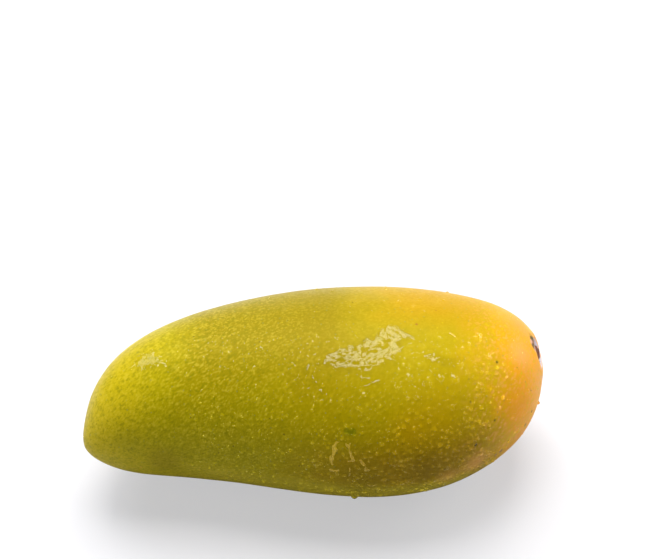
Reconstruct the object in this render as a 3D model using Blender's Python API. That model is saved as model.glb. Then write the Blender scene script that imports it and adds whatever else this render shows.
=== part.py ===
"""A whole ripe mango that lies on its cheek, with the dry stub of its stalk in the hollow at one end.

Lengths are in millimetres until a mesh is written, which is in metres. In the fruit's own frame
+X runs to the stalk end, +Y to the back (the round edge) and +Z to the upper cheek.
"""
import math

import bmesh
import bpy
from mathutils import Euler, Vector

METRES = 0.001

# The fruit: tip to stalk end, belly edge to back edge, cheek to cheek
LENGTH = 180.0
BREADTH = 86.0
THICKNESS = 72.0

# How breadth and thickness change along the fruit: factors of powers 1 to 4 of the place along it,
# which runs from -1 at the tip to +1 at the stalk end
BREADTH_SWELL = (0.28, 0.05, -0.21, 0.18)
THICKNESS_SWELL = (0.09, 0.22, -0.10, 0.16)

# Sideways bend of the middle line, in factors of powers 1 to 3: the tip curves to the belly side
BEND = (-1.7, -2.9, 14.3)

# Low swellings of the skin: where, as a direction from the middle, how high and how wide in radians
SWELLINGS = (
    (Vector((-0.97, -0.25, 0.0)), 2.4, 0.18),
    (Vector((0.90, 0.34, 0.27)), 0.5, 0.30),
    (Vector((0.91, -0.38, -0.17)), 1.0, 0.30),
)
TIP_WAY = SWELLINGS[0][0].normalized()

# The hollow where the stalk was: its middle, depth, floor and mouth radii, and the lip round it
STALK_WAY = Vector((0.985, 0.043, 0.165)).normalized()
HOLLOW_DEPTH = 3.0
HOLLOW_FLOOR = 2.6
HOLLOW_MOUTH = 6.6
LIP_HEIGHT = 0.35
LIP_RADIUS = 8.0
LIP_SPREAD = 2.0

# The dry stub of the stalk: the gap under it, its reach on the hollow's floor in radians, its height
STUB_GAP = 0.35
STUB_REACH = 0.056
STUB_FLOOR_RINGS = 3
STUB_HEIGHT = 2.2
STUB_DISH = 0.5
STUB_LOBES = 3
STUB_LOBE_SIZE = 0.10
STUB_POINTS = 28

# How it lies: nose-down pitch and roll that bring its weight over the point it rests on
REST_PITCH = math.radians(1.65)
REST_ROLL = math.radians(1.5)
FLAT_CUT = 0.35

# Mesh: points round the fruit, and the spacing of its rings in radians
POINTS_ROUND = 56
RING_STEP = 0.075
STALK_STEP = 0.018
STALK_STEP_GROWTH = 0.08
TIP_STEP = 0.035
TIP_STEP_GROWTH = 0.12

SMOOTH_ANGLE = math.radians(40)


def clear_scene():
    """Remove every object that the opened file holds."""
    for item in list(bpy.data.objects):
        bpy.data.objects.remove(item, do_unlink=True)


def make_material(name, colour, roughness, metallic=0.0):
    """A plain Principled material."""
    material = bpy.data.materials.new(name)
    material.use_nodes = True
    shader = material.node_tree.nodes["Principled BSDF"]
    shader.inputs["Base Color"].default_value = (*colour, 1.0)
    shader.inputs["Roughness"].default_value = roughness
    shader.inputs["Metallic"].default_value = metallic
    return material


def power_sum(factors, along):
    """Sum of factors of the rising powers of the place along the fruit."""
    return sum(factor * along ** (power + 1) for power, factor in enumerate(factors))


def smooth_step(low, high, value):
    """0 below low, 1 above high, with a smooth ramp between."""
    share = min(max((value - low) / (high - low), 0.0), 1.0)
    return share * share * (3.0 - 2.0 * share)


def skin_point(way):
    """Point of the skin without its hollow, for a direction on a unit ball."""
    breadth = BREADTH / 2 * (1.0 + power_sum(BREADTH_SWELL, way.x))
    thickness = THICKNESS / 2 * (1.0 + power_sum(THICKNESS_SWELL, way.x))
    point = Vector((
        LENGTH / 2 * way.x,
        power_sum(BEND, way.x) + breadth * way.y,
        thickness * way.z,
    ))
    for middle, height, spread in SWELLINGS:
        turn = way.angle(middle)
        point += middle.normalized() * (height * math.exp(-(turn / spread) ** 2))
    return point


def ring_frame(angle):
    """Axis and two cross directions of a ring: the axis leans from the stalk's way to the tip's."""
    axis = STALK_WAY.slerp(-TIP_WAY, angle / math.pi)
    across = axis.cross(Vector((0.0, 0.0, 1.0))).normalized()
    return axis, across, axis.cross(across)


def ring_way(angle, turn):
    """Direction on the unit ball, an angle away from the stalk's and turned round it."""
    axis, across, upright = ring_frame(angle)
    rim = across * math.cos(turn) + upright * math.sin(turn)
    return axis * math.cos(angle) + rim * math.sin(angle)


def stalk_axis():
    """Outward direction of the skin where the stalk was."""
    tiny = 0.02
    east, north = (skin_point(ring_way(tiny, turn)) for turn in (0.0, math.pi / 2))
    west, south = (skin_point(ring_way(tiny, turn)) for turn in (math.pi, 1.5 * math.pi))
    axis = (east - west).cross(north - south).normalized()
    return axis if axis.dot(STALK_WAY) > 0.0 else -axis


STALK_POINT = skin_point(STALK_WAY)
STALK_AXIS = stalk_axis()


def fruit_point(way):
    """Point of the finished skin: the hollow is sunk in, with a low lip round it."""
    point = skin_point(way)
    reach = (point - STALK_POINT).length
    sunk = HOLLOW_DEPTH * (1.0 - smooth_step(HOLLOW_FLOOR, HOLLOW_MOUTH, reach))
    lip = LIP_HEIGHT * math.exp(-((reach - LIP_RADIUS) / LIP_SPREAD) ** 2)
    return point + STALK_AXIS * (lip - sunk)


def ring_angles():
    """Angles of the rings from the stalk to the tip, closer where the skin turns tightly."""
    angles = [STALK_STEP]
    while True:
        from_stalk = STALK_STEP + STALK_STEP_GROWTH * angles[-1]
        from_tip = TIP_STEP + TIP_STEP_GROWTH * (math.pi - angles[-1])
        angle = angles[-1] + min(RING_STEP, from_stalk, from_tip)
        if angle > math.pi - TIP_STEP / 2:
            return angles
        angles.append(angle)


def close_rings(bm, rings, first, last):
    """Join rings of points with quads, and close both ends with fans to a point."""
    for ring, after in zip(rings, rings[1:]):
        for i in range(len(ring)):
            j = (i + 1) % len(ring)
            bm.faces.new((ring[i], ring[j], after[j], after[i]))
    for pole, ring in ((first, rings[0]), (last, rings[-1])):
        for i in range(len(ring)):
            bm.faces.new((pole, ring[i], ring[(i + 1) % len(ring)]))
    bmesh.ops.recalc_face_normals(bm, faces=bm.faces)


def cut_flat_spot(bm, down):
    """Slice off the lowest skin, so that the fruit rests on a small flat spot."""
    lowest = max(vertex.co.dot(down) for vertex in bm.verts)
    cut = bmesh.ops.bisect_plane(
        bm,
        geom=bm.verts[:] + bm.edges[:] + bm.faces[:],
        plane_co=down * (lowest - FLAT_CUT),
        plane_no=down,
        clear_outer=True,
    )
    rim = [part for part in cut["geom_cut"] if isinstance(part, bmesh.types.BMEdge)]
    bmesh.ops.edgeloop_fill(bm, edges=rim)
    bmesh.ops.recalc_face_normals(bm, faces=bm.faces)


def add_object(name, bm, material, parent):
    """Write a mesh, in metres, as an object with its material, shaded smooth."""
    bmesh.ops.scale(bm, vec=(METRES, METRES, METRES), verts=bm.verts)
    mesh = bpy.data.meshes.new(name)
    bm.to_mesh(mesh)
    bm.free()
    mesh.shade_smooth()
    mesh.set_sharp_from_angle(angle=SMOOTH_ANGLE)
    mesh.materials.append(material)
    item = bpy.data.objects.new(name, mesh)
    item.parent = parent
    bpy.context.collection.objects.link(item)
    return item


def make_fruit(parent, down):
    """The fruit: one grown solid, from its tip to the hollow of the stalk."""
    bm = bmesh.new()
    turns = [2.0 * math.pi * i / POINTS_ROUND for i in range(POINTS_ROUND)]
    rings = [
        [bm.verts.new(fruit_point(ring_way(angle, turn))) for turn in turns]
        for angle in ring_angles()
    ]
    stalk_end = bm.verts.new(fruit_point(STALK_WAY))
    tip_end = bm.verts.new(fruit_point(TIP_WAY))
    close_rings(bm, rings, stalk_end, tip_end)
    cut_flat_spot(bm, down)
    skin = make_material("mango_skin", (0.42, 0.32, 0.02), 0.38)
    return add_object("fruit", bm, skin, parent)


def make_stub(parent):
    """The dry stub of the stalk: a lobed plug on the hollow's floor, dished on top."""
    bm = bmesh.new()
    lift = STALK_AXIS * STUB_GAP
    turns = [2.0 * math.pi * i / STUB_POINTS for i in range(STUB_POINTS)]

    def lobed(turn):
        return STUB_REACH * (1.0 + STUB_LOBE_SIZE * math.cos(STUB_LOBES * turn))

    def floor_point(share, turn):
        return fruit_point(ring_way(lobed(turn) * share, turn)) + lift

    floor_middle = fruit_point(STALK_WAY) + lift
    rings = [
        [bm.verts.new(floor_point((k + 1) / STUB_FLOOR_RINGS, turn)) for turn in turns]
        for k in range(STUB_FLOOR_RINGS)
    ]
    # Rings up the side and over the rounded rim: share of the height, share of the reach
    for height, reach in ((0.45, 1.0), (0.8, 0.95), (1.0, 0.8), (0.92, 0.5)):
        ring = []
        for turn in turns:
            edge = floor_point(1.0, turn)
            spot = floor_middle.lerp(edge, reach) + STALK_AXIS * (STUB_HEIGHT * height)
            ring.append(bm.verts.new(spot))
        rings.append(ring)
    floor = bm.verts.new(floor_middle)
    dish = bm.verts.new(floor_middle + STALK_AXIS * (STUB_HEIGHT - STUB_DISH))
    close_rings(bm, rings, floor, dish)
    wood = make_material("dry_stalk", (0.16, 0.075, 0.035), 0.75)
    return add_object("stem_stub", bm, wood, parent)


def settle(parent, fruit):
    """Shift everything so that the box of the fruit stands on the ground, centred on the origin."""
    turned = parent.rotation_euler.to_matrix()
    corners = [turned @ vertex.co for vertex in fruit.data.vertices]
    middle_x = (min(c.x for c in corners) + max(c.x for c in corners)) / 2
    middle_y = (min(c.y for c in corners) + max(c.y for c in corners)) / 2
    parent.location = (-middle_x, -middle_y, -min(c.z for c in corners))


def main():
    clear_scene()
    mango = bpy.data.objects.new("mango", None)
    bpy.context.collection.objects.link(mango)
    mango.rotation_euler = Euler((REST_ROLL, -REST_PITCH, 0.0))
    down = mango.rotation_euler.to_matrix().transposed() @ Vector((0.0, 0.0, -1.0))
    fruit = make_fruit(mango, down)
    make_stub(mango)
    settle(mango, fruit)
    bpy.context.view_layer.update()


main()
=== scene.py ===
"""Looks of a whole ripe mango, still wet from washing, on a plain pale floor."""

import math
import random

import bmesh
import bpy
import numpy as np
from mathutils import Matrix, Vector, noise
from mathutils.bvhtree import BVHTree


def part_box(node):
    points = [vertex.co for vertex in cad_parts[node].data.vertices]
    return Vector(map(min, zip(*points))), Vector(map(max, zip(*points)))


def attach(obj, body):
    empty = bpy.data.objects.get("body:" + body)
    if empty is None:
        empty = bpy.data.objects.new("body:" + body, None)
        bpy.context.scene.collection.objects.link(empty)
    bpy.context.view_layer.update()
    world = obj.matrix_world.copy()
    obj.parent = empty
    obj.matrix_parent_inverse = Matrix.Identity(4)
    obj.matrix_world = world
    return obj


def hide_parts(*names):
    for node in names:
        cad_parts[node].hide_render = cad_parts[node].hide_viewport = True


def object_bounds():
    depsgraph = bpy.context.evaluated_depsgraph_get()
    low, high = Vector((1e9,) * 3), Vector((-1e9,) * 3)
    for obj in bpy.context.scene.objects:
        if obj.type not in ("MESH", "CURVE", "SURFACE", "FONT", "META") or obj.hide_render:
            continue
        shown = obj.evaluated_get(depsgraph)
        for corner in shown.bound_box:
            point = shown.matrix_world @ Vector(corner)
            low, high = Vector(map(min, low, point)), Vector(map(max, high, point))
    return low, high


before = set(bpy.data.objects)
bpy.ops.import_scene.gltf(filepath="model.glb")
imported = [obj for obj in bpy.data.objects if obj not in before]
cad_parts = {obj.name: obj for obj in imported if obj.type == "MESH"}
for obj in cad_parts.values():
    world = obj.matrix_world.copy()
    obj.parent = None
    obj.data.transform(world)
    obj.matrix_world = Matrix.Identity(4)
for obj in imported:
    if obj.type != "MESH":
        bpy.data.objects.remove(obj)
CAD_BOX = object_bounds()

MM = 0.001

# The photograph's frame in pixels, and the camera that sees the fruit as it does
FRAME_WIDTH = 671
FRAME_HEIGHT = 559
CAMERA_PLACE = Vector((11.6, -388.5, 533.2)) * MM
CAMERA_AZIMUTH = 0.58
CAMERA_ELEVATION = 48.0
LENS_MM = 85.0
SENSOR_MM = 36.0

# Middle of the fruit, which the lights face
FRUIT_MIDDLE = (CAD_BOX[0] + CAD_BOX[1]) / 2

# The stalk's hollow: the middle of the stub in it, and its mouth
STALK_PLACE = sum((Vector(c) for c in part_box("stem_stub")), Vector()) / 2
HOLLOW_MOUTH = 6.6 * MM

# The floor: its radius, how far from the middle it gives back less light, what is left of it there,
# and its glow
FLOOR_RADIUS = 6.0
SHADE_REACH = 75 * MM
SHADE_BOUNCE = 0.4
FLOOR_GLOW = 0.5

# Soft lights: azimuth and elevation in degrees, distance, width and height in metres, brightness,
# and a tint where they aren't white
PANELS = {
    "overhead_panel": (183, 66, 1.2, 0.86, 0.96, 8.3, (1.0, 0.96, 0.87)),
    "left_window": (220, 44, 1.3, 0.60, 0.60, 3.4),
    "right_card": (112, 27, 1.3, 0.80, 0.60, 4.2, (1.0, 0.95, 0.85)),
    "left_card": (285, 18, 1.4, 0.70, 0.50, 3.2, (1.0, 0.97, 0.88)),
    "back_wall": (180, 8, 2.5, 3.0, 1.0, 0.7),
    "front_window": (-10, 3, 2.0, 0.55, 0.24, 5.0),
}

# Colours of the skin along the fruit, linear: place in millimetres from the middle, then colour
SKIN_ALONG = (
    (-86, (0.535, 0.417, 0.006)),
    (-58, (0.402, 0.336, 0.001)),
    (-25, (0.346, 0.285, 0.001)),
    (6, (0.342, 0.263, 0.001)),
    (32, (0.378, 0.289, 0.001)),
    (54, (0.425, 0.318, 0.002)),
    (67, (0.555, 0.350, 0.004)),
    (78, (0.84, 0.365, 0.006)),
    (88, (0.94, 0.41, 0.012)),
)
GOLD = (0.475, 0.272, 0.003)
BELLY_BROWN = (0.305, 0.170, 0.001)
BELLY_PALE = (0.46, 0.37, 0.018)
# Olive painted shade, on the shoulder near the tip and in clouds low down
PAINTED_SHADE_OLIVE = (0.22, 0.155, 0.001)
AMBER = (0.50, 0.26, 0.001)
UMBER = (0.17, 0.105, 0.001)
ORANGE = (0.92, 0.33, 0.003)
LEAF_GREEN = (0.15, 0.17, 0.002)
# Grey-green, for lenticels and for painted glints of tiny drops
GREY_GREEN_PORE_AND_GLINT = (0.19, 0.25, 0.08)
LEMON = (0.62, 0.50, 0.003)
# Pale lemon grain, whose faint grey is painted sheen
PALE_LEMON_AND_SHEEN = (0.61, 0.495, 0.035)
# Peach: for flecks, a small mark and blush, and as painted light on the lower rim and at the stalk end
PEACH_AND_PAINTED_LIGHT = (0.86, 0.415, 0.12)
APRICOT_BLUSH_AND_SHEEN = (0.76, 0.32, 0.05)
DARK_SPECK = (0.035, 0.035, 0.008)
RUST = (0.30, 0.10, 0.02)
PLUM = (0.17, 0.10, 0.10)
# Pale cork: partly the corky hollow, partly painted light on its far wall and painted shine beyond it
CORK_AND_PAINTED_SHINE = (0.72, 0.64, 0.74)
# Pink cork, for blotches and rims in the hollow, and painted shine on the streak beyond it
CORK_PINK_AND_PAINTED_SHINE = (0.62, 0.36, 0.34)
MOSS_BLACK = (0.03, 0.035, 0.012)
FIBRE_BLACK = (0.035, 0.012, 0.006)
WOOD_BROWN = (0.30, 0.085, 0.03)
WOOD_GREY = (0.42, 0.30, 0.26)

# Points closer than this become one, and two triangles become a quad if it is bent and skewed by
# less than this
MERGE_DISTANCE = 1e-6
QUAD_BEND = math.radians(40)
QUAD_SKEW = math.radians(60)

# How far large clouds and small puffs shift the colours along the skin, in millimetres
CLOUD_DRIFT = 34.0
PUFF_DRIFT = 16.0

# The grain of the skin runs up to the right as the camera sees it
GRAIN_TURN = (0.0, math.radians(-28), math.radians(36.6))
GRAIN_STRETCH = 1.9
PORE_SPACING = 2.2 * MM
PINPOINT_SPACING = 5.0 * MM

# Marks have ragged edges: the size of the lumps, their share of the radius, and where that stops growing
MARK_EDGE_SIZE = 1.4 * MM
MARK_RAGGED = 0.8
LARGE_MARK = 2.5

# Marks on the skin: pixel of the photograph, radius and softness in millimetres, strength, colour
SKIN_MARKS = (
    (347, 431.5, 1.9, 1.3, 0.6, LEAF_GREEN),
    (352.5, 432, 2.1, 1.4, 0.7, LEAF_GREEN),
    (497, 362.5, 1.5, 1.2, 0.35, LEAF_GREEN),
    (497, 362, 0.5, 0.25, 0.95, DARK_SPECK),
    (476, 445, 0.8, 0.35, 0.95, DARK_SPECK),
    (495, 420.3, 0.7, 0.4, 0.75, DARK_SPECK),
    (532, 411.5, 0.75, 0.4, 0.85, DARK_SPECK),
    (525.5, 425, 1, 0.6, 0.6, DARK_SPECK),
    (416.5, 324.2, 0.7, 0.4, 0.9, RUST),
    (436, 310.5, 0.5, 0.3, 0.6, RUST),
    (501, 451, 1.3, 0.8, 0.75, PLUM),
    (496, 455, 1, 0.7, 0.6, PLUM),
    (141, 467, 0.6, 0.4, 0.45, PEACH_AND_PAINTED_LIGHT),
    (395, 376.5, 0.45, 0.3, 0.45, LEAF_GREEN),
    (331, 376, 0.4, 0.25, 0.6, LEAF_GREEN),
    # Soft clouds
    (440, 424, 22, 22, 0.28, AMBER),
    (425, 467, 15, 15, 0.42, UMBER),
    (407, 432, 13, 13, 0.26, AMBER),
    # The next two peach clouds are painted light, bounced up onto the lower rim
    (476, 463, 9, 9, 0.45, PEACH_AND_PAINTED_LIGHT),
    (449, 477, 8, 8, 0.3, PEACH_AND_PAINTED_LIGHT),
    (518, 404, 13, 13, 0.55, ORANGE),
    # The next two clouds at the stalk end are partly blush, partly painted sheen
    (518, 322, 15, 15, 0.75, APRICOT_BLUSH_AND_SHEEN),
    (521, 354, 9, 9, 0.65, PEACH_AND_PAINTED_LIGHT),
    (128, 442, 9, 9, 0.22, LEAF_GREEN),
    # The next two olive clouds are painted shade that darkens the fruit low down
    (165, 461, 12, 11, 0.38, PAINTED_SHADE_OLIVE),
    (362, 481, 15, 14, 0.55, PAINTED_SHADE_OLIVE),
    # Scabs on the lip of the stalk's hollow, and pale streaks beyond it, which are painted highlights of
    # wet skin
    (531.5, 336, 2.4, 1.8, 0.5, LEAF_GREEN),
    (532.6, 339.2, 1.9, 0.6, 0.9, MOSS_BLACK),
    (532.4, 342.4, 1.5, 0.5, 0.8, CORK_PINK_AND_PAINTED_SHINE),
    (533.8, 342.8, 1.4, 0.5, 0.8, RUST),
    (534, 346, 1.6, 0.5, 0.8, MOSS_BLACK),
    (535.6, 348.8, 1.7, 0.8, 0.85, CORK_PINK_AND_PAINTED_SHINE),
    (537.4, 353, 1.6, 0.8, 0.8, CORK_AND_PAINTED_SHINE),
    (540, 351.5, 1.3, 0.7, 0.85, CORK_AND_PAINTED_SHINE),
    (541, 359.5, 1.3, 0.8, 0.8, CORK_AND_PAINTED_SHINE),
    (541.2, 368, 1, 0.8, 0.6, CORK_AND_PAINTED_SHINE),
    (541, 377, 0.9, 0.7, 0.5, CORK_PINK_AND_PAINTED_SHINE),
)

# Sheets of water: strokes of pixels with half widths in millimetres. Then, in millimetres too, how
# deep they are, how ragged the edge is and in lumps of what size, how high and wide they ripple, and
# the step of their grid. Domes are tried so many times, and a tilt has its start and its slope.
FILMS = (
    # The broad broken sheet on the upper cheek
    {"strokes": (
        ((323, 363, 1.4), (334, 358, 2.5), (346, 354, 3.4), (356, 358, 3.8)),
        ((336, 365, 2.0), (346, 366, 2.8), (358, 365, 3.8), (372, 359, 4.2), (388, 354, 3.6),
         (396, 348, 2.6)),
        ((359, 349, 1.2), (368, 345, 1.8), (380, 341, 3.2), (390, 334, 4.3), (400, 336, 3.6)),
        ((365, 367, 2.0), (367, 375, 2.0)),
    ), "depth": 0.26, "ragged": 1.2, "ragged_size": 2.4, "ripple": 0.03, "ripple_size": 2.2,
     "grid": 0.20, "domes": 2600},
    # Small wisps below it, beside it and behind it
    {"strokes": (((365, 386.5, 0.45), (371, 385, 0.55), (378, 382, 1.0)),),
     "depth": 0.22, "ragged": 0.5, "ragged_size": 1.6},
    {"strokes": (((309, 363.5, 0.35), (307.5, 370, 0.85)),),
     "depth": 0.25, "ragged": 0.3, "ragged_size": 1.5},
    {"strokes": (
        ((311.5, 377, 0.3), (315, 383.5, 0.5)), ((316, 388, 0.4), (321, 392, 0.5), (326, 395, 0.35)),
        ((307, 389.5, 0.3), (310, 388, 0.5)),
    ), "depth": 0.25, "ragged": 0.3, "ragged_size": 1.5},
    {"strokes": (
        ((398, 328, 0.7), (401, 330, 0.4)), ((407, 335.5, 1.1), (413, 338, 0.8), (417, 341.5, 0.4)),
        ((418, 342, 0.35), (422, 342, 0.4), (426, 340, 0.45)),
    ), "depth": 0.22, "ragged": 0.6, "ragged_size": 1.5},
    # The long puddle beside it
    {"strokes": (
        ((426, 357, 0.9), (433, 360, 1.6), (442, 362, 1.9), (453, 361, 1.8), (464, 358, 0.9)),
        ((424, 353, 0.45), (430, 357, 0.8)), ((437, 354, 0.4), (432, 358, 0.7)),
    ), "depth": 0.34, "ragged": 0.7, "ragged_size": 2.2, "ripple": 0.05, "ripple_size": 2.5,
     "tilt": (-5.0, 0.20)},
    # A thin wiped patch near the tip
    {"strokes": (
        ((134, 365, 1.2), (141, 361, 3.0), (147, 357.5, 2.6), (151.5, 353.5, 1.2)),
        ((140, 365, 2.6), (149, 364, 2.9), (156, 361.5, 1.9), (163, 365.5, 1.2)),
        ((138, 367, 1.4), (141, 370, 1.2), (146, 368.5, 1.3)),
    ), "depth": 0.14, "ragged": 1.2, "ragged_size": 1.5, "ripple": 0.04, "ripple_size": 1.2},
)

# Narrow runs of water, which glow more and show a painted pale sheen
RUNS = (
    # Streaks that run down the near side
    {"strokes": (
        ((340, 441.5, 0.3), (336, 443, 0.4), (334, 447, 0.8), (335, 450, 1.05), (333.5, 454, 0.5),
         (331.5, 459, 0.95), (332, 464, 0.4)),
        ((346, 444.5, 0.3), (348.5, 446, 0.5)),
        ((351, 443, 0.3), (348.7, 446.5, 0.5), (351, 455, 0.4), (353, 460, 0.6)),
        ((353, 461, 0.45), (348, 461.5, 0.3)),
        ((360.5, 460.5, 0.5), (364, 465, 0.35), (367, 470, 0.8)),
        ((331, 470, 0.4), (338, 471, 0.5)),
        ((350, 468, 0.35), (350, 476, 0.3)),
        ((366, 484, 0.35), (371, 486, 0.4), (376, 485, 0.3)),
    ), "depth": 0.30, "ragged": 0.35, "ragged_size": 1.5},
    # Short runs near the stalk
    {"strokes": (
        ((478, 334, 0.5), (481, 335, 0.7), (480, 340, 0.4)),
        ((451, 333, 0.5), (455, 337, 0.4)),
    ), "depth": 0.25, "ragged": 0.4, "ragged_size": 1.4},
)

# Films, in millimetres: the usual step of their grid and the border round it, how far they reach
# under the skin, how far they dip outside their edge and go on there, and how wide the edge is
FILM_GRID = 0.27
FILM_MARGIN = 1.6
FILM_ROOT = 0.30
FILM_SINK = 0.12
FILM_SKIRT = 0.2
FILM_EDGE = 1.2
TILT_EASE = 3.0
# The slope at the edge, and how its finer lumps compare with the coarse ones
CONTACT_SLOPE = 0.60
FINER_EDGE = 0.4
# Domes: radii in millimetres, height as a share of the radius, and gap as a share of both radii
DOME_RADII = (0.50, 1.35)
DOME_HEIGHT = 0.30
DOME_GAP = 0.86

# Height over the skin that rays are cast down from, and rounds of smoothing of what they find
CAST_HEIGHT = 15.0
SKIN_ROUNDS = 24

# Seeds of the first sheet and the first run, the step to the next, and shifts within each
SHEET_SEED = 5.0
RUN_SEED = 103.0
FILM_SEED_STEP = 11.0
FINER_EDGE_SEED = 7.3
RIPPLE_SEED = 31.7

# How much light reaches the skin under a sheet, a drop and a bead, which gather it, the share of that
# in their shadow, and how strongly they shine
SHEET_LIGHT = (0.80, 0.90, 0.50)
DROP_LIGHT = (1.20, 0.45, 0.60)
BEAD_LIGHT = (1.60, 0.34, 0.36)
# The gathering falls to a share of its own between two heights in millimetres
LOW_TO_TOP = (53, 65)
TOP_SHARE = 0.46
# Low down, the glints take a share of the shine and a tint; between two heights they turn white
WARM_GLINT = (0.75, (1.0, 0.86, 0.28))
WHITE_GLINT = (1.0, (1.0, 1.0, 1.0))
GLINTS_TURN_WHITE = (62, 69)
# Thin runs are partly opaque with a painted pale sheen: its colour, and how clear they are
PAINTED_RUN_SHEEN = (0.92, 0.74, 0.18)
RUN_CLARITY = 0.78

# Large drops: pixel of the photograph, radius in millimetres, length over width, and bulge if not 1
DROPS = (
    (409, 377, 1.75, 1.15), (440.5, 377.5, 1.7, 1.1), (455, 378.5, 1.9, 1.15),
    (481, 385.5, 1.4, 1.2), (452.5, 407.5, 1.15, 1.25), (410.5, 344.5, 1.25, 1),
    (419.5, 458.5, 0.95, 1.05), (457.5, 451, 0.75, 1), (509, 401, 0.95, 1.1),
    (490, 429.5, 0.8, 1.05), (528, 391, 0.8, 1.2), (458.5, 364, 0.65, 1.3),
    (439, 404.5, 0.75, 1), (401, 383, 0.75, 1), (404.5, 358.5, 0.75, 1),
    (389.5, 349, 1, 1), (499, 442.5, 0.7, 1), (466, 372, 0.9, 1.1),
    (424, 384, 0.8, 1.3), (431, 371, 0.85, 1.2), (447, 391, 0.8, 1.1),
    (470, 396, 0.75, 1), (354.5, 495, 1.7, 0.8, 1.45), (537.5, 402.5, 0.85, 1, 1.8),
)
DROP_RINGS = 10
DROP_TURNS = 28
DROP_ANGLE = math.radians(62)
# Shares of its radius by which a drop reaches past its foot, is uneven, sags and sinks in
DROP_REACH = 1.07
DROP_UNEVEN = 0.09
DROP_SAG = 0.22
DROP_ROOT = 0.35
# How quickly the unevenness changes round a drop, and how far apart drops are in it
DROP_LUMPS = 1.4
DROP_SEED_STEP = 3.1

# Scattered water: least spacing, radii, length over width at most, wetness at the tip, distance
# from the other water, unevenness, and how finely each bead is made
BEAD_SETS = {
    "short_runs": {
        "Spacing": 5.6 * MM, "Smallest": 0.60 * MM, "Largest": 1.10 * MM, "Longest": 1.9, "Driest": 0.0,
        "Clearance": 1.2 * MM, "Wobble": 0.45 * MM, "Sides": 24, "Rings": 8, "Seed": 21,
    },
    "small_beads": {
        "Spacing": 1.62 * MM, "Smallest": 0.46 * MM, "Largest": 0.98 * MM, "Longest": 1.25,
        "Driest": 0.02, "Clearance": 0.5 * MM, "Wobble": 0.08 * MM, "Sides": 13, "Rings": 5, "Seed": 3,
    },
    "fine_mist": {
        "Spacing": 1.00 * MM, "Smallest": 0.20 * MM, "Largest": 0.36 * MM, "Longest": 1.3,
        "Driest": 0.10, "Clearance": 0.2 * MM, "Wobble": 0.0, "Sides": 7, "Rings": 3, "Seed": 12,
    },
}
# The angle at a bead's edge, how deep it sinks as a share of its radius, how closely beads are
# packed where it is wettest, and the size of their unevenness
BEAD_ANGLE = math.radians(72)
BEAD_ROOT = 0.35
PACKING = 0.9
WOBBLE_SIZE = 0.9 * MM


def direction(azimuth, elevation):
    """Unit vector towards a place round the fruit: azimuth 0 is the camera's side, in degrees."""
    a = math.radians(azimuth)
    e = math.radians(elevation)
    return Vector((math.sin(a) * math.cos(e), -math.cos(a) * math.cos(e), math.sin(e)))


CAMERA_BACK = direction(CAMERA_AZIMUTH, CAMERA_ELEVATION)
CAMERA_RIGHT = direction(CAMERA_AZIMUTH + 90, 0)
CAMERA_UP = CAMERA_BACK.cross(CAMERA_RIGHT)


def search_tree(mesh):
    """Tree of a mesh's faces, which rays are cast on."""
    return BVHTree.FromPolygons([v.co for v in mesh.vertices], [p.vertices for p in mesh.polygons])


def seen_at(ground, across, down):
    """Place and outward normal of the surface under a pixel of the photograph."""
    way = CAMERA_RIGHT * (across - FRAME_WIDTH / 2) + CAMERA_UP * (FRAME_HEIGHT / 2 - down)
    way = way * (SENSOR_MM / LENS_MM / FRAME_WIDTH) - CAMERA_BACK
    place, normal, _, _ = ground.ray_cast(CAMERA_PLACE, way.normalized())
    return place, normal


# Node helpers

def new_material(name):
    """Material with an empty node tree."""
    material = bpy.data.materials.new(name)
    material.use_nodes = True
    material.node_tree.nodes.clear()
    return material


def put(tree, kind, inputs=None, **settings):
    """Add a node, set its properties, and feed its inputs, by name or number."""
    node = tree.nodes.new(kind)
    for key, value in settings.items():
        setattr(node, key, value)
    for key, source in (inputs or {}).items():
        wire(tree, source, node.inputs[key])
    return node


def wire(tree, source, target):
    """Link an output to an input, or set the input to a plain value."""
    if isinstance(source, bpy.types.NodeSocket):
        tree.links.new(source, target)
    else:
        target.default_value = source


def maths(tree, operation, a, b=None, clamp=False):
    """Result of a maths node."""
    inputs = {0: a} if b is None else {0: a, 1: b}
    return put(tree, "ShaderNodeMath", inputs, operation=operation, use_clamp=clamp).outputs[0]


def product(tree, *values):
    """Product of several values."""
    result = values[0]
    for value in values[1:]:
        result = maths(tree, "MULTIPLY", result, value)
    return result


def vector_maths(tree, operation, a, b=None):
    """Result of a vector maths node: a number for a distance or a length, or else a vector."""
    inputs = {0: a} if b is None else {0: a, 1: b}
    node = put(tree, "ShaderNodeVectorMath", inputs, operation=operation)
    return node.outputs["Value" if operation in ("DISTANCE", "LENGTH") else "Vector"]


def scaled(tree, vector, factor):
    """A vector times a number."""
    inputs = {"Vector": vector, "Scale": factor}
    return put(tree, "ShaderNodeVectorMath", inputs, operation="SCALE").outputs[0]


def joined(tree, x, y, z):
    """Vector from its three parts."""
    return put(tree, "ShaderNodeCombineXYZ", {0: x, 1: y, 2: z}).outputs[0]


def parts(tree, vector):
    """The three parts of a vector."""
    return put(tree, "ShaderNodeSeparateXYZ", {0: vector}).outputs


def ramp_value(tree, value, low, high, to_low=0.0, to_high=1.0):
    """Smooth ramp of a value from one range to another."""
    inputs = {"Value": value, "From Min": low, "From Max": high, "To Min": to_low, "To Max": to_high}
    node = put(tree, "ShaderNodeMapRange", inputs, interpolation_type="SMOOTHSTEP")
    return node.outputs["Result"]


def blend_colour(tree, share, under, over):
    """Mix of two colours, each a socket or three plain numbers."""
    under, over = ((*side, 1.0) if isinstance(side, tuple) else side for side in (under, over))
    return put(tree, "ShaderNodeMix", {0: share, 6: under, 7: over}, data_type="RGBA").outputs[2]


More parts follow.
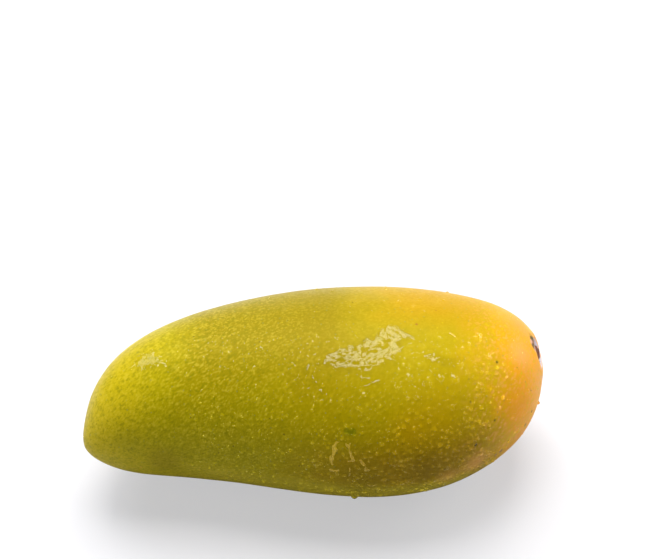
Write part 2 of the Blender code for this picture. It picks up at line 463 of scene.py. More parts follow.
def painted(tree, colour, *coats):
    """Colour under coats of paint, each given as its cover and its colour."""
    for cover, paint in coats:
        colour = blend_colour(tree, cover, colour, paint)
    return colour


def noise_at(tree, place, size, detail=2.0, roughness=0.5, seed=0.0):
    """Noise from 0 to 1 whose lumps are about the given size in metres."""
    scale = 1.0 / size if isinstance(size, float) else maths(tree, "DIVIDE", 1.0, size)
    return put(tree, "ShaderNodeTexNoise", {
        "Vector": place, "W": seed, "Scale": scale, "Detail": detail, "Roughness": roughness,
    }, noise_dimensions="4D").outputs["Fac"]


def cells_at(tree, place, size):
    """Distance to the nearest of scattered points, in cells, and that cell's random value."""
    cells = put(tree, "ShaderNodeTexVoronoi", {"Vector": place, "Scale": 1.0 / size}, feature="F1")
    chance = put(tree, "ShaderNodeSeparateColor", {0: cells.outputs["Color"]}).outputs[0]
    return cells.outputs["Distance"], chance


def axes_in_mm(tree, place):
    """The three coordinates of a place, in millimetres."""
    return [maths(tree, "DIVIDE", axis, MM) for axis in parts(tree, place)]


def bumped(tree, height, distance, strength=1.0):
    """Normal of a surface out of which a height stands."""
    inputs = {"Distance": distance, "Strength": strength, "Height": height}
    return put(tree, "ShaderNodeBump", inputs).outputs[0]


def mixed_shader(tree, share, under, over):
    """Mix of two shaders."""
    return put(tree, "ShaderNodeMixShader", {0: share, 1: under.outputs[0], 2: over.outputs[0]})


def shown(material, shader):
    """Send a shader to its material's output."""
    put(material.node_tree, "ShaderNodeOutputMaterial", {"Surface": shader.outputs[0]})
    return material


# Skin

def mark_group():
    """Group that puts out how much a round mark covers a place: 1 inside, fading over its softness."""
    tree = bpy.data.node_groups.new("round mark", "ShaderNodeTree")
    add_inputs(tree, [("Place", "Vector"), ("Middle", "Vector"), ("Radius", "Float"),
                      ("Softness", "Float"), ("Ragged", "Float")])
    tree.interface.new_socket("Cover", in_out="OUTPUT", socket_type="NodeSocketFloat")
    given = put(tree, "NodeGroupInput").outputs
    reach = vector_maths(tree, "DISTANCE", given["Place"], given["Middle"])
    rough = maths(tree, "SUBTRACT", noise_at(tree, given["Place"], MARK_EDGE_SIZE, 2.0), 0.5)
    reach = maths(tree, "ADD", reach, product(tree, rough, given["Ragged"]))
    inner = maths(tree, "SUBTRACT", given["Radius"], given["Softness"])
    cover = ramp_value(tree, reach, inner, given["Radius"], 1.0, 0.0)
    put(tree, "NodeGroupOutput", {"Cover": cover})
    return tree


def add_mark(tree, group, place, middle, radius, softness, ragged):
    """Cover of one round mark."""
    return put(tree, "ShaderNodeGroup", {
        "Place": place, "Middle": middle, "Radius": radius, "Softness": softness, "Ragged": ragged,
    }, node_tree=group).outputs["Cover"]


def ripe_colour(tree, place):
    """Broad colours: olive at the tip, brown on the near flank, golden and orange at the stalk."""
    x, y, z = axes_in_mm(tree, place)
    cloud = maths(tree, "SUBTRACT", noise_at(tree, place, 40 * MM, 3.0, 0.55, 3.0), 0.5)
    puff = maths(tree, "SUBTRACT", noise_at(tree, place, 9 * MM, 2.0, 0.5, 6.0), 0.5)
    drift = maths(tree, "ADD", product(tree, cloud, CLOUD_DRIFT), product(tree, puff, PUFF_DRIFT))
    along = maths(tree, "ADD", x, drift)

    first, last = SKIN_ALONG[0][0], SKIN_ALONG[-1][0]
    share = maths(tree, "DIVIDE", maths(tree, "SUBTRACT", along, first), last - first, clamp=True)
    tint = put(tree, "ShaderNodeValToRGB", {0: share})
    stops = tint.color_ramp.elements
    stops[0].color = (*SKIN_ALONG[0][1], 1)
    stops[1].color = (*SKIN_ALONG[-1][1], 1)
    for spot, colour in SKIN_ALONG[1:-1]:
        stops.new((spot - first) / (last - first)).color = (*colour, 1)

    # Golden towards the back; olive on the shoulder near the tip, which is painted shadow
    side = maths(tree, "ADD", y, product(tree, drift, 0.5))
    gold = product(tree, ramp_value(tree, side, -3, 20), ramp_value(tree, along, 6, 44), 0.9,
                   ramp_value(tree, along, 78, 62))
    olive = product(tree, ramp_value(tree, side, -30, -8), ramp_value(tree, along, 26, 0),
                    ramp_value(tree, along, -64, -40), 0.55)
    # Brown on the near flank, paler underneath
    level = maths(tree, "ADD", z, product(tree, drift, -0.25))
    brown = product(tree, ramp_value(tree, y, -22, -34), ramp_value(tree, level, 60, 44),
                    ramp_value(tree, along, -24, 30), ramp_value(tree, along, 84, 62), 0.85)
    pale = product(tree, ramp_value(tree, level, 38, 29), ramp_value(tree, along, 75, 50),
                   ramp_value(tree, along, -65, -35, 0.2, 0.8))
    return painted(tree, tint.outputs[0], (gold, GOLD), (olive, PAINTED_SHADE_OLIVE),
                   (brown, BELLY_BROWN), (pale, BELLY_PALE))


def skin_grain(tree, place, colour):
    """Lay fine grain, drawn out aslant, over a skin colour. Puts out the grain too."""
    aslant = put(tree, "ShaderNodeMapping", {
        "Vector": place, "Rotation": GRAIN_TURN, "Scale": (GRAIN_STRETCH, 1.0, 1.0),
    }, vector_type="TEXTURE").outputs[0]
    grain = noise_at(tree, aslant, 0.70 * MM, 3.0, 0.6, 1.0)
    mottle = noise_at(tree, place, 2.6 * MM, 3.0, 0.6, 5.0)
    # It fades towards the stalk end
    along = axes_in_mm(tree, place)[0]
    unripe = product(tree, ramp_value(tree, along, -50, 10, 1.0, 0.35),
                     ramp_value(tree, along, 30, 65, 1.0, 0.25))
    deep = product(tree, unripe, ramp_value(tree, grain, 0.50, 0.66, 0.0, 0.50))
    # The pale grain is partly lighter skin, partly painted sheen in its faint grey
    light = product(tree, unripe, ramp_value(tree, grain, 0.50, 0.36, 0.0, 0.48))
    patch = product(tree, unripe, ramp_value(tree, mottle, 0.52, 0.70, 0.0, 0.30))
    # The ripe end is flecked with peach and lime instead
    ripe = ramp_value(tree, along, 48, 78)
    fleck = noise_at(tree, aslant, 1.3 * MM, 3.0, 0.6, 4.0)
    peach = product(tree, ripe, ramp_value(tree, fleck, 0.48, 0.66, 0.0, 0.46))
    lime = product(tree, ripe, ramp_value(tree, fleck, 0.48, 0.34, 0.0, 0.50))
    colour = painted(tree, colour, (deep, LEAF_GREEN), (light, PALE_LEMON_AND_SHEEN), (patch, LEAF_GREEN),
                     (peach, PEACH_AND_PAINTED_LIGHT), (lime, LEMON))
    return colour, grain


def skin_pores(tree, place, colour):
    """Dot a skin colour with grey-green and lemon pores and dark pinpoints. Puts out the pores too."""
    reach, chance = cells_at(tree, place, PORE_SPACING)
    pore = ramp_value(tree, reach, 0.07, 0.17, 1.0, 0.0)
    # The grey-green dots are partly lenticels, partly painted glints of tiny drops
    grey = product(tree, pore, ramp_value(tree, chance, 0.40, 0.50, 0.0, 0.55))
    lemon = product(tree, pore, ramp_value(tree, chance, 0.25, 0.35, 0.5, 0.0))
    reach, chance = cells_at(tree, place, PINPOINT_SPACING)
    dot = ramp_value(tree, reach, 0.035, 0.080, 1.0, 0.0)
    dark = product(tree, dot, ramp_value(tree, chance, 0.45, 0.55, 0.0, 0.8))
    return painted(tree, colour, (grey, GREY_GREEN_PORE_AND_GLINT), (lemon, LEMON), (dark, DARK_SPECK)), pore


def skin_marks(tree, place, colour, ground):
    """Lay the corky hollow of the stalk, blotched with dark moss, and all marks over a skin colour."""
    group = mark_group()
    # The hollow's pale lavender is partly corky tissue, partly painted light on its far wall
    corky = add_mark(tree, group, place, STALK_PLACE, HOLLOW_MOUTH, 1.0 * MM, 1.4 * MM)
    blotch = noise_at(tree, place, 1.3 * MM, 2.0, 0.6, 9.0)
    cork = painted(tree, CORK_AND_PAINTED_SHINE, (ramp_value(tree, blotch, 0.62, 0.68, 0.0, 0.8), MOSS_BLACK),
                   (ramp_value(tree, blotch, 0.46, 0.34, 0.0, 0.8), CORK_PINK_AND_PAINTED_SHINE))
    colour = blend_colour(tree, corky, colour, cork)
    for across, down, radius, softness, strength, paint in SKIN_MARKS:
        middle = seen_at(ground, across, down)[0]
        ragged = min(radius, LARGE_MARK) * MARK_RAGGED * MM
        cover = add_mark(tree, group, place, middle, radius * MM, softness * MM, ragged)
        colour = blend_colour(tree, product(tree, cover, strength), colour, paint)
    return colour


def skin_material(ground):
    """Waxy skin with grain, pores and specks, and the corky wall of the stalk's hollow."""
    material = new_material("ripe mango skin")
    tree = material.node_tree
    place = put(tree, "ShaderNodeTexCoord").outputs["Object"]
    colour, grain = skin_grain(tree, place, ripe_colour(tree, place))
    colour, pore = skin_pores(tree, place, colour)
    lumps = noise_at(tree, place, 1.6 * MM, 2.0, 0.5, 8.0)
    relief = maths(tree, "ADD", lumps, product(tree, pore, -0.35))
    return shown(material, put(tree, "ShaderNodeBsdfPrincipled", {
        "Base Color": skin_marks(tree, place, colour, ground),
        "Roughness": ramp_value(tree, grain, 0.3, 0.7, 0.40, 0.52),
        "IOR": 1.40,
        "Specular IOR Level": 0.30,
        "Specular Tint": (1.0, 0.86, 0.15, 1.0),
        "Normal": bumped(tree, relief, 0.06 * MM, 0.6),
    }))


def water_shader(tree, shine, glint, clarity):
    """Shader of water, clear or with a painted pale sheen. The glint is a share of the shine, and a
    tint.
    """
    share, glint_tint = glint
    tint = (1.0, 1.0, 1.0) if clarity == 1.0 else PAINTED_RUN_SHEEN
    return put(tree, "ShaderNodeBsdfPrincipled", {
        "Base Color": (*tint, 1.0),
        "Roughness": 0.02,
        "IOR": 1.33,
        "Specular IOR Level": shine * share,
        "Specular Tint": (*glint_tint, 1.0),
        "Transmission Weight": clarity,
    })


def water_material(name, under, beyond, shine, low_glint=WARM_GLINT, clarity=1.0):
    """Clear water, or water with a painted pale sheen. Light on the skin under it is multiplied by
    under, and light that goes right through it, onto the skin beside it, by beyond as well.
    """
    material = new_material(name)
    tree = material.node_tree
    height = axes_in_mm(tree, put(tree, "ShaderNodeTexCoord").outputs["Object"])[2]
    water = mixed_shader(
        tree, ramp_value(tree, height, *GLINTS_TURN_WHITE),
        water_shader(tree, shine, low_glint, clarity), water_shader(tree, shine, WHITE_GLINT, clarity),
    )
    # On the flank, where light comes in aslant, it gathers more than on top
    gathered = ramp_value(tree, height, *LOW_TO_TOP, under, 1.0 + (under - 1.0) * TOP_SHARE)
    leaving = put(tree, "ShaderNodeNewGeometry").outputs["Backfacing"]
    passed = blend_colour(tree, leaving, (beyond, beyond, beyond), gathered)
    clear = put(tree, "ShaderNodeBsdfTransparent", {"Color": passed})
    path = put(tree, "ShaderNodeLightPath").outputs
    passing = maths(tree, "MAXIMUM", path["Is Shadow Ray"], path["Is Diffuse Ray"])
    return shown(material, mixed_shader(tree, passing, water, clear))


def wood_material():
    """Dry brown wood with dark fibres."""
    material = new_material("dry stalk wood")
    tree = material.node_tree
    place = put(tree, "ShaderNodeTexCoord").outputs["Object"]
    grain = noise_at(tree, place, 0.5 * MM, 4.0, 0.65, 2.0)
    patch = noise_at(tree, place, 2.0 * MM, 2.0, 0.5, 4.0)
    return shown(material, put(tree, "ShaderNodeBsdfPrincipled", {
        "Base Color": painted(tree, FIBRE_BLACK, (ramp_value(tree, grain, 0.35, 0.65), WOOD_BROWN),
                              (ramp_value(tree, patch, 0.58, 0.75, 0.0, 0.6), WOOD_GREY)),
        "Roughness": ramp_value(tree, patch, 0.3, 0.7, 0.75, 0.55),
        "Normal": bumped(tree, grain, 0.15 * MM),
    }))


# Pieces

def add_object(name, data):
    """New object in the scene."""
    item = bpy.data.objects.new(name, data)
    bpy.context.collection.objects.link(item)
    return item


def finished_mesh(name, bm):
    """Mesh of a bmesh, shaded smooth."""
    mesh = bpy.data.meshes.new(name)
    bm.to_mesh(mesh)
    bm.free()
    mesh.shade_smooth()
    return mesh


def merged_copy(node, name):
    """New object with a CAD node's mesh, its doubles merged and its triangles paired into quads."""
    bm = bmesh.new()
    bm.from_mesh(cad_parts[node].data)
    bmesh.ops.remove_doubles(bm, verts=bm.verts, dist=MERGE_DISTANCE)
    bmesh.ops.join_triangles(
        bm, faces=bm.faces, angle_face_threshold=QUAD_BEND, angle_shape_threshold=QUAD_SKEW
    )
    return add_object(name, finished_mesh(name, bm))


def add_inputs(tree, sockets):
    """Give a node group named inputs of the given kinds."""
    for label, kind in sockets:
        tree.interface.new_socket(label, in_out="INPUT", socket_type="NodeSocket" + kind)


def new_geometry_tree(name, sockets):
    """Geometry Nodes tree with a geometry in and out and named inputs."""
    tree = bpy.data.node_groups.new(name, "GeometryNodeTree")
    add_inputs(tree, [("Geometry", "Geometry"), *sockets])
    tree.interface.new_socket("Geometry", in_out="OUTPUT", socket_type="NodeSocketGeometry")
    return tree


def run_tree(item, tree, values):
    """Run a tree on an object with the named values, and keep the result as a plain mesh."""
    modifier = item.modifiers.new(tree.name, "NODES")
    modifier.node_group = tree
    for socket in tree.interface.items_tree:
        if socket.in_out == "INPUT" and socket.name in values:
            modifier[socket.identifier] = values[socket.name]
    bpy.context.view_layer.update()
    evaluated = item.evaluated_get(bpy.context.evaluated_depsgraph_get())
    mesh = bpy.data.meshes.new_from_object(evaluated)
    mesh.name = item.name
    item.modifiers.clear()
    item.data = mesh
    return item


def end_tree(tree, geometry, offset, finish):
    """Close a tree: shift the points, shade them smooth, give the finish, and put it out."""
    moved = put(tree, "GeometryNodeSetPosition", {"Geometry": geometry, "Offset": offset})
    smooth = put(tree, "GeometryNodeSetShadeSmooth", {0: moved.outputs[0]})
    inputs = {"Geometry": smooth.outputs[0], "Material": finish}
    put(tree, "NodeGroupOutput", {0: put(tree, "GeometryNodeSetMaterial", inputs).outputs[0]})
    return tree


def swell_tree():
    """Tree that rounds a coarse mesh and lets its surface swell and dip a little."""
    tree = new_geometry_tree("soft swelling", [
        ("Levels", "Int"), ("Swell height", "Float"), ("Swell size", "Float"), ("Finish", "Material"),
    ])
    given = put(tree, "NodeGroupInput").outputs
    inputs = {"Mesh": given["Geometry"], "Level": given["Levels"]}
    rounded = put(tree, "GeometryNodeSubdivisionSurface", inputs).outputs[0]
    place = put(tree, "GeometryNodeInputPosition").outputs[0]
    lift = maths(tree, "SUBTRACT", noise_at(tree, place, given["Swell size"]), 0.5)
    # The spot that it rests on stays flat
    height = axes_in_mm(tree, place)[2]
    lift = product(tree, lift, given["Swell height"], ramp_value(tree, height, 0.2, 6.0))
    outward = put(tree, "GeometryNodeInputNormal").outputs[0]
    return end_tree(tree, rounded, scaled(tree, outward, lift), given["Finish"])


def random_value(tree, low, high, seed):
    """Random number for each point."""
    inputs = {2: low, 3: high, "Seed": seed}
    return put(tree, "FunctionNodeRandomValue", inputs, data_type="FLOAT").outputs[1]


def wetness(tree, place, driest):
    """How wet the skin is: little at the tip, dry underneath and in the hollow, and patchy."""
    to_stalk, _, upward = parts(tree, put(tree, "GeometryNodeInputNormal").outputs[0])
    along, back, _ = axes_in_mm(tree, place)
    reach = vector_maths(tree, "DISTANCE", place, STALK_PLACE)
    # Along the fruit, at its back, underneath, at the stalk end, in patches, and in the hollow
    return product(
        tree,
        ramp_value(tree, along, -62, -28, driest, 1.0),
        ramp_value(tree, back, 5, -9, 0.03, 1.0),
        ramp_value(tree, upward, -0.50, 0.0),
        ramp_value(tree, to_stalk, 0.78, 0.42, 0.10, 1.0),
        ramp_value(tree, noise_at(tree, place, 11 * MM), 0.34, 0.60, 0.35, 1.0),
        ramp_value(tree, reach, 8 * MM, 10 * MM),
    )


def scattered_points(tree, given, place):
    """Points spread over a skin as it is wet, and the same ones clear of the water laid on it."""
    dense = maths(tree, "DIVIDE", PACKING, product(tree, given["Spacing"], given["Spacing"]))
    points = put(tree, "GeometryNodeDistributePointsOnFaces", {
        "Mesh": given["Geometry"],
        "Distance Min": given["Spacing"],
        "Density Max": dense,
        "Density Factor": wetness(tree, place, given["Driest"]),
        "Seed": given["Seed"],
    }, distribute_method="POISSON")
    laid = put(tree, "GeometryNodeJoinGeometry")
    for label in ("Films", "Runs", "Drops"):
        water = put(tree, "GeometryNodeObjectInfo", {"Object": given[label]})
        wire(tree, water.outputs["Geometry"], laid.inputs[0])
    near = put(tree, "GeometryNodeProximity", {0: laid.outputs[0]}, target_element="FACES")
    close = maths(tree, "LESS_THAN", near.outputs["Distance"], given["Clearance"])
    clear = put(tree, "GeometryNodeDeleteGeometry", {
        "Geometry": points.outputs["Points"], "Selection": close,
    }, domain="POINT")
    return points, clear


def bead_cap(tree, given):
    """Bead of unit radius: a cone whose rings are moved onto a ball's cap, the last one sunk."""
    cone = put(tree, "GeometryNodeMeshCone", {
        "Vertices": given["Sides"], "Side Segments": given["Rings"],
        "Radius Top": 0.0, "Radius Bottom": 1.0, "Depth": 1.0,
    }, fill_type="NGON")
    x, y, _ = parts(tree, put(tree, "GeometryNodeInputPosition").outputs[0])
    share = maths(tree, "SQRT", maths(tree, "ADD", product(tree, x, x), product(tree, y, y)))
    rings = maths(tree, "MAXIMUM", given["Rings"], 2.0)
    capped = maths(tree, "DIVIDE", maths(tree, "SUBTRACT", rings, 1.0), rings)
    turn = maths(tree, "MINIMUM", maths(tree, "DIVIDE", share, capped), 1.0)
    spread = maths(tree, "SINE", product(tree, turn, math.pi / 2))
    stretch = maths(tree, "DIVIDE", spread, maths(tree, "MAXIMUM", share, 0.001))
    ball = 1.0 / math.sin(BEAD_ANGLE)
    rise = maths(tree, "SUBTRACT", ball * ball, product(tree, spread, spread))
    rise = maths(tree, "SUBTRACT", maths(tree, "SQRT", rise), ball * math.cos(BEAD_ANGLE))
    sunk = product(tree, maths(tree, "GREATER_THAN", share, 0.99), BEAD_ROOT)
    onto = joined(tree, product(tree, x, stretch), product(tree, y, stretch),
                  maths(tree, "SUBTRACT", rise, sunk))
    return put(tree, "GeometryNodeSetPosition", {"Geometry": cone.outputs["Mesh"], "Position": onto})


def bead_turn(tree, given, points):
    """Rotation that stands a bead on the skin, turned round at random."""
    turned = joined(tree, 0.0, 0.0, random_value(tree, 0.0, math.tau, given["Seed"]))
    spin = put(tree, "FunctionNodeEulerToRotation", {0: turned}).outputs[0]
    inputs = {0: points.outputs["Rotation"], 1: spin}
    return put(tree, "FunctionNodeRotateRotation", inputs, rotation_space="LOCAL").outputs[0]


def bead_form(tree, given, place):
    """Scale of a bead: many are small and few large, some of them oval, smaller to the tip."""
    chance = random_value(tree, 0.0, 1.0, maths(tree, "ADD", given["Seed"], 1.0))
    span = maths(tree, "SUBTRACT", given["Largest"], given["Smallest"])
    size = maths(tree, "ADD", given["Smallest"], product(tree, chance, chance, span))
    size = product(tree, size, ramp_value(tree, axes_in_mm(tree, place)[0], -45, 35, 0.65, 1.0))
    longer = random_value(tree, 1.0, given["Longest"], maths(tree, "ADD", given["Seed"], 2.0))
    return joined(tree, product(tree, size, longer), size, size)


def bead_tree():
    """Tree that scatters flattened beads of water over a skin, clear of the other water on it."""
    tree = new_geometry_tree("scattered beads", [
        ("Films", "Object"), ("Runs", "Object"), ("Drops", "Object"), ("Spacing", "Float"),
        ("Smallest", "Float"), ("Largest", "Float"), ("Clearance", "Float"), ("Wobble", "Float"),
        ("Sides", "Int"), ("Rings", "Int"), ("Longest", "Float"), ("Driest", "Float"),
        ("Seed", "Int"), ("Finish", "Material"),
    ])
    given = put(tree, "NodeGroupInput").outputs
    place = put(tree, "GeometryNodeInputPosition").outputs[0]
    points, clear = scattered_points(tree, given, place)
    beads = put(tree, "GeometryNodeInstanceOnPoints", {
        "Points": clear.outputs[0],
        "Instance": bead_cap(tree, given).outputs[0],
        "Rotation": bead_turn(tree, given, points),
        "Scale": bead_form(tree, given, place),
    })
    real = put(tree, "GeometryNodeRealizeInstances", {0: beads.outputs[0]}).outputs[0]
    # Uneven outlines
    lumps = put(tree, "ShaderNodeTexNoise", {"Vector": place, "Scale": 1.0 / WOBBLE_SIZE, "Detail": 0.0})
    shift = vector_maths(tree, "SUBTRACT", lumps.outputs["Color"], (0.5, 0.5, 0.5))
    return end_tree(tree, real, scaled(tree, shift, given["Wobble"]), given["Finish"])


# Sheets and drops of water

def stroke_cover(spots, start, end):
    """How far spots lie inside a stroke between two points with half widths: negative outside."""
    run = end[:2] - start[:2]
    share = np.clip(((spots - start[:2]) @ run) / max(run @ run, 1e-9), 0.0, 1.0)
    gap = np.linalg.norm(spots - (start[:2] + share[:, None] * run), axis=1)
    return start[2] + share * (end[2] - start[2]) - gap


def wander(spots, size, seed):
    """Soft noise, about -1 to 1, at flat spots in millimetres."""
    return np.array([noise.noise(Vector((u / size, v / size, seed))) for u, v in spots]) * 1.6


def film_cover(film, strokes, spots, seed):
    """How far spots lie inside a film's ragged outline, in millimetres: negative outside."""
    sections = [(a, b) for stroke in strokes for a, b in zip(stroke, stroke[1:])]
    cover = np.max([stroke_cover(spots, a, b) for a, b in sections], axis=0)
    ragged, size = film["ragged"], film["ragged_size"]
    cover += ragged * wander(spots, size, seed)
    cover += ragged * FINER_EDGE * wander(spots, size * FINER_EDGE, seed + FINER_EDGE_SEED)
    return cover


def film_rise(film, cover, spots, low, high, seed):
    """How high a film's top stands over the skin, in millimetres."""
    depth = film["depth"]
    rise = np.where(
        cover > 0,
        depth * (1 - np.exp(-np.maximum(cover, 0) * CONTACT_SLOPE / depth)),
        np.maximum(cover * CONTACT_SLOPE, -FILM_SINK),
    )
    inside = np.clip(cover / FILM_EDGE, 0, 1)
    if "ripple" in film:
        rise += film["ripple"] * inside * wander(spots, film["ripple_size"], seed + RIPPLE_SEED)
    # Domes that stand clear of each other break its shine into a net of thin lines
    draw = random.Random(seed)
    domes = []
    for _ in range(film.get("domes", 0)):
        spot = np.array((draw.uniform(low[0], high[0]), draw.uniform(low[1], high[1])))
        radius = draw.uniform(*DOME_RADII)
        if all(np.linalg.norm(spot - other) > DOME_GAP * (radius + reach) for other, reach in domes):
            domes.append((spot, radius))
            gap = np.linalg.norm(spots - spot, axis=1)
            rise += inside * DOME_HEIGHT * radius * np.exp(-2.0 * (gap / radius) ** 2)
    # A tilt that starts some way along turns the rest of a puddle's shine away
    if "tilt" in film:
        start, slope = film["tilt"]
        tilted = np.clip((spots[:, 0] - start) / TILT_EASE, 0, 1)
        rise -= inside * slope * tilted * (spots[:, 1] - spots[:, 1].mean())
    return rise


def skin_under(ground, axes, spots):
    """Height of the skin under flat spots, in millimetres over the frame's plane."""
    middle, along, up, normal = axes
    heights = np.zeros(len(spots))
    for k, (u, v) in enumerate(spots):
        start = middle + (along * u + up * v + normal * CAST_HEIGHT) * MM
        hit = ground.ray_cast(start, -normal)[0]
        heights[k] = (hit - middle).dot(normal) / MM if hit else 0.0
    return heights


def smoothed(values, rounds):
    """Average a grid with its neighbours a number of times, keeping its mean."""
    soft = values.copy()
    for _ in range(rounds):
        wide = np.pad(soft, 1, mode="edge")
        soft = (wide[:-2, 1:-1] + wide[2:, 1:-1] + wide[1:-1, :-2] + wide[1:-1, 2:] + 4 * soft) / 8
    return soft + (values - soft).mean()


def filled_corners(cells):
    """Add cells until none touch each other by a corner alone."""
    while True:
        a, b, c, d = cells[:-1, :-1], cells[1:, :-1], cells[:-1, 1:], cells[1:, 1:]
        crossed = (a & d & ~b & ~c) | (b & c & ~a & ~d)
        if not crossed.any():
            return cells
        i, j = np.argwhere(crossed)[0]
        cells[i:i + 2, j:j + 2] = True


def close_film(bm, axes, us, vs, top, base, cells):
    """Add a film's closed mesh: two faces over each cell of its grid, and walls round the cells."""
    middle, along, up, normal = axes

    def layer(heights):
        made = {}
        for i, j in np.ndindex(heights.shape):
            if cells[max(i - 1, 0):i + 1, max(j - 1, 0):j + 1].any():
                spot = along * us[i] + up * vs[j] + normal * heights[i, j]
                made[i, j] = bm.verts.new(middle + spot * MM)
        return made

    upper, lower = layer(top), layer(base)
    for i, j in np.argwhere(cells):
        square = ((i, j), (i + 1, j), (i + 1, j + 1), (i, j + 1))
        bm.faces.new([upper[c] for c in square])
        bm.faces.new([lower[c] for c in reversed(square)])
        for side, (di, dj) in enumerate(((0, -1), (1, 0), (0, 1), (-1, 0))):
            ni, nj = i + di, j + dj
            if 0 <= ni < cells.shape[0] and 0 <= nj < cells.shape[1] and cells[ni, nj]:
                continue
            a, b = square[side], square[(side + 1) % 4]
            bm.faces.new((lower[a], lower[b], upper[b], upper[a]))


def lay_film(bm, ground, film, seed):
    """Add a sheet of water: a height field over a flat frame that touches the skin at its middle."""
    strokes = [
        [(seen_at(ground, across, down)[0], half) for across, down, half in stroke]
        for stroke in film["strokes"]
    ]
    places = [place for stroke in strokes for place, _ in stroke]
    middle, normal, _, _ = ground.find_nearest(sum(places, Vector()) / len(places))
    along = (Vector((1, 0, 0)) - normal * normal.x).normalized()
    up = normal.cross(along)
    axes = middle, along, up, normal
    flat = [
        [np.array(((p - middle).dot(along) / MM, (p - middle).dot(up) / MM, half)) for p, half in stroke]
        for stroke in strokes
    ]
    ends = np.array([point for stroke in flat for point in stroke])
    low = (ends[:, :2] - ends[:, 2:]).min(axis=0) - FILM_MARGIN
    high = (ends[:, :2] + ends[:, 2:]).max(axis=0) + FILM_MARGIN
    step = film.get("grid", FILM_GRID)
    us = np.arange(low[0], high[0], step)
    vs = np.arange(low[1], high[1], step)
    grid_u, grid_v = np.meshgrid(us, vs, indexing="ij")
    spots = np.stack((grid_u.ravel(), grid_v.ravel()), axis=1)

    cover = film_cover(film, flat, spots, seed)
    rise = film_rise(film, cover, spots, low, high, seed).reshape(grid_u.shape)
    skin_height = smoothed(skin_under(ground, axes, spots).reshape(grid_u.shape), SKIN_ROUNDS)
    corner = (cover > -FILM_SINK / CONTACT_SLOPE - FILM_SKIRT).reshape(grid_u.shape)
    cells = corner[:-1, :-1] | corner[1:, :-1] | corner[:-1, 1:] | corner[1:, 1:]
    cells = filled_corners(np.pad(cells, 1))[1:-1, 1:-1]
    close_film(bm, axes, us, vs, skin_height + rise, skin_height - FILM_ROOT, cells)


def films_mesh(ground, films, seed):
    """Mesh of several films, each with its own seed."""
    bm = bmesh.new()
    for number, film in enumerate(films):
        lay_film(bm, ground, film, seed + FILM_SEED_STEP * number)
    return bm


def lay_drop(bm, ground, seed, across, down, radius, length, bulge=1.0):
    """Add a domed drop of water that sags a little downhill."""
    place, normal = seen_at(ground, across, down)
    downhill = (Vector((0, 0, -1)) + normal * normal.z).normalized()
    side = normal.cross(downhill)
    ball = 1.0 / math.sin(DROP_ANGLE)
    rings = []
    for k in range(1, DROP_RINGS + 1):
        share = DROP_REACH * math.sin(0.5 * math.pi * k / DROP_RINGS)
        ring = []
        for turn in range(DROP_TURNS):
            angle = math.tau * turn / DROP_TURNS
            rim = Vector((math.cos(angle), math.sin(angle), seed * DROP_SEED_STEP))
            lumps = noise.noise(rim * DROP_LUMPS)
            reach = radius * share * (1.0 + DROP_UNEVEN * lumps)
            height = math.sqrt(max(ball * ball - share * share, 0.05)) - ball * math.cos(DROP_ANGLE)
            height *= radius * bulge * (1.0 + DROP_SAG * math.cos(angle) * share)
            spot = downhill * (math.cos(angle) * reach * length) + side * (math.sin(angle) * reach)
            ring.append(bm.verts.new(place + (spot + normal * height) * MM))
        rings.append(ring)
    crown = bm.verts.new(place + normal * (radius * bulge * (ball - ball * math.cos(DROP_ANGLE)) * MM))
    root = bm.verts.new(place - normal * (radius * DROP_ROOT * MM))
    for ring, after in zip(rings, rings[1:]):
        for i in range(DROP_TURNS):
            j = (i + 1) % DROP_TURNS
            bm.faces.new((ring[i], after[i], after[j], ring[j]))
    for i in range(DROP_TURNS):
        j = (i + 1) % DROP_TURNS
        bm.faces.new((crown, rings[0][i], rings[0][j]))
        bm.faces.new((root, rings[-1][j], rings[-1][i]))


def add_water(name, bm, material):
    """Finish a piece of water with outward faces."""
    bmesh.ops.recalc_face_normals(bm, faces=bm.faces)
    item = add_object(name, finished_mesh(name, bm))
    item.data.materials.append(material)
    return item


# Studio

def add_camera():
    """Camera that sees the fruit as the photograph does."""
    data = bpy.data.cameras.new("camera")
    data.lens = LENS_MM
    data.sensor_width = SENSOR_MM
    data.clip_start = 0.01
    data.clip_end = 50.0
    camera = add_object("camera", data)
    camera.location = CAMERA_PLACE
    camera.rotation_mode = "QUATERNION"
    camera.rotation_quaternion = (-CAMERA_BACK).to_track_quat("-Z", "Y")
    bpy.context.scene.camera = camera


def add_panel(name, azimuth, elevation, distance, width, height, brightness, colour=(1.0, 1.0, 1.0)):
    """Soft rectangular light that faces the fruit; brightness is its radiance, floor white being 1."""
    data = bpy.data.lights.new(name, "AREA")
    data.shape = "RECTANGLE"
    data.size = width
    data.size_y = height
    data.color = colour
    data.energy = brightness * math.pi * width * height
    lamp = add_object(name, data)
    way = direction(azimuth, elevation)
    lamp.location = FRUIT_MIDDLE + way * distance
    lamp.rotation_mode = "QUATERNION"
    lamp.rotation_quaternion = (-way).to_track_quat("-Z", "Y")
    lamp.visible_camera = False


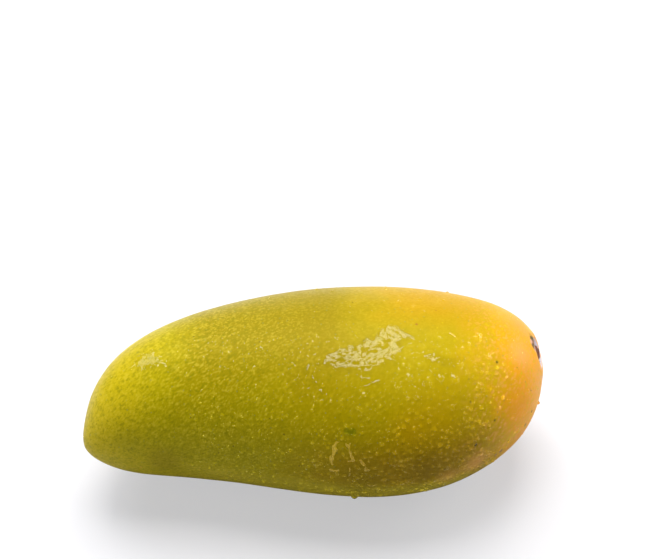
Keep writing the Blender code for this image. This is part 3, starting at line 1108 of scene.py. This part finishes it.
def add_floor():
    """Pale, faintly mottled floor."""
    bm = bmesh.new()
    bmesh.ops.create_circle(bm, cap_ends=True, radius=FLOOR_RADIUS, segments=64)
    floor = add_object("floor", finished_mesh("floor", bm))
    material = new_material("pale floor")
    tree = material.node_tree
    place = put(tree, "ShaderNodeTexCoord").outputs["Object"]
    pale = blend_colour(tree, noise_at(tree, place, 0.05, 3.0), (0.78, 0.80, 0.90), (0.81, 0.83, 0.93))
    # Near the fruit the floor gives back less light than it shows, so the underside falls into shade
    reach = vector_maths(tree, "LENGTH", place)
    share = ramp_value(tree, reach, SHADE_REACH, 2.0 * SHADE_REACH, SHADE_BOUNCE, 1.0)
    seen = put(tree, "ShaderNodeLightPath").outputs["Is Camera Ray"]
    colour = blend_colour(tree, maths(tree, "MAXIMUM", seen, share), (0.0, 0.0, 0.0), pale)
    shader = put(tree, "ShaderNodeBsdfPrincipled", {"Base Color": colour, "Roughness": 0.6})
    # To the camera it also glows a little, which keeps the shadow pale
    glow = put(tree, "ShaderNodeEmission", {"Color": (0.97, 0.97, 1.0, 1.0)})
    glowing = product(tree, seen, FLOOR_GLOW)
    floor.data.materials.append(shown(material, mixed_shader(tree, glowing, shader, glow)))


def add_world():
    """Pale to the camera, dim all round for the light."""
    world = bpy.data.worlds.new("studio")
    bpy.context.scene.world = world
    world.use_nodes = True
    tree = world.node_tree
    tree.nodes.clear()
    pale = put(tree, "ShaderNodeBackground", {0: (0.95, 0.95, 0.95, 1.0)})
    dim = put(tree, "ShaderNodeBackground", {0: (0.95, 0.97, 1.0, 1.0), 1: 0.10})
    seen = put(tree, "ShaderNodeLightPath").outputs["Is Camera Ray"]
    put(tree, "ShaderNodeOutputWorld", {0: mixed_shader(tree, seen, dim, pale).outputs[0]})


add_camera()
add_floor()
add_world()
for name, values in PANELS.items():
    add_panel(name, *values)
bpy.context.scene.view_settings.view_transform = "Standard"

skin = merged_copy("fruit", "mango_skin")
run_tree(skin, swell_tree(), {
    "Levels": 2, "Swell height": 0.5 * MM, "Swell size": 22 * MM,
    "Finish": skin_material(search_tree(skin.data)),
})
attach(skin, "root")
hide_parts("fruit")

stub = merged_copy("stem_stub", "stalk_stub")
run_tree(stub, swell_tree(), {
    "Levels": 3, "Swell height": 0.8 * MM, "Swell size": 0.7 * MM, "Finish": wood_material(),
})
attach(stub, "root")
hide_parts("stem_stub")

ground = search_tree(skin.data)
sheet_water = water_material("sheet of water", *SHEET_LIGHT, WHITE_GLINT)
drop_water = water_material("drops of water", *DROP_LIGHT)
bead_water = water_material("beads of water", *BEAD_LIGHT)
run_water = water_material("thin runs of water", *BEAD_LIGHT, WARM_GLINT, RUN_CLARITY)
films = add_water("water_film", films_mesh(ground, FILMS, SHEET_SEED), sheet_water)
domes = bmesh.new()
for number, drop in enumerate(DROPS):
    lay_drop(domes, ground, number, *drop)
drops = add_water("large_drops", domes, drop_water)
runs = add_water("water_runs", films_mesh(ground, RUNS, RUN_SEED), run_water)

beads = bead_tree()
for name, values in BEAD_SETS.items():
    item = add_object(name, skin.data.copy())
    finish = drop_water if name == "short_runs" else bead_water
    run_tree(item, beads, {**values, "Films": films, "Runs": runs, "Drops": drops, "Finish": finish})
    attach(item, "root")
for item in (films, runs, drops):
    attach(item, "root")
